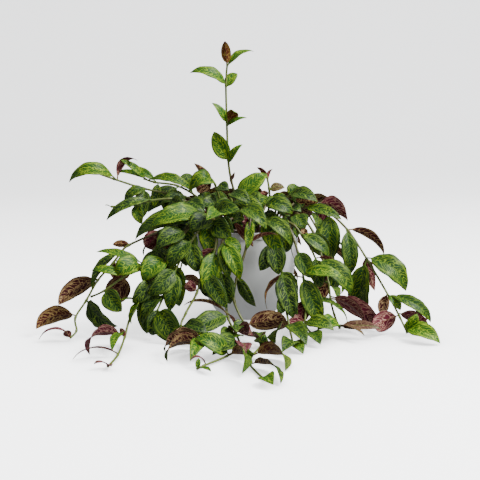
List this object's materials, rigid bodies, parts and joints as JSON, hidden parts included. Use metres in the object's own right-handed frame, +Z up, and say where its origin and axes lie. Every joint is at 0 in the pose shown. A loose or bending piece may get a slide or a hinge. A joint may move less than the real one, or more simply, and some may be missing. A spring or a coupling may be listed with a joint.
{
  "type": "potted house plant",
  "caption": "Trailing house plant with mottled oval leaves on long arching stems, rooted in soil in a plain round white pot.",
  "frame": {"origin": "middle of the flat foot of the pot, on the surface it stands on", "axes": "+Z up along the pot's axis, -Y toward the side seen in the picture, +X to that view's right"},
  "size_m": [0.534, 0.5521, 0.3874],
  "materials": {
    "pot_plastic": "smooth satin white plastic, lightly soiled at the foot",
    "potting_mix": "damp crumbly dark brown peat and bark",
    "leafy_stem": "waxy dark green leaves with a yellow-green net above and maroon blotches on tan below, on olive to brown stems"
  },
  "bodies": {
    "root": {"pot": "pot_plastic", "potting_soil": "potting_mix", "stem_back_far_right": "leafy_stem", "stem_back_left": "leafy_stem", "stem_back_middle": "leafy_stem", "stem_back_right": "leafy_stem", "stem_back_shoot": "leafy_stem", "stem_centre": "leafy_stem", "stem_centre_right": "leafy_stem", "stem_far_left": "leafy_stem", "stem_far_right": "leafy_stem", "stem_front_left": "leafy_stem", "stem_front_right": "leafy_stem", "stem_left_arm": "leafy_stem", "stem_left_big": "leafy_stem", "stem_left_front": "leafy_stem", "stem_left_high": "leafy_stem", "stem_left_inner": "leafy_stem", "stem_left_low": "leafy_stem", "stem_left_mid": "leafy_stem", "stem_left_shoot": "leafy_stem", "stem_mound_back": "leafy_stem", "stem_mound_front": "leafy_stem", "stem_mound_left": "leafy_stem", "stem_mound_right": "leafy_stem", "stem_mound_rim": "leafy_stem", "stem_right_front": "leafy_stem", "stem_right_inner": "leafy_stem", "stem_right_long": "leafy_stem", "stem_right_mid": "leafy_stem", "stem_right_top": "leafy_stem", "stem_upright": "leafy_stem"}
  },
  "joints": []
}
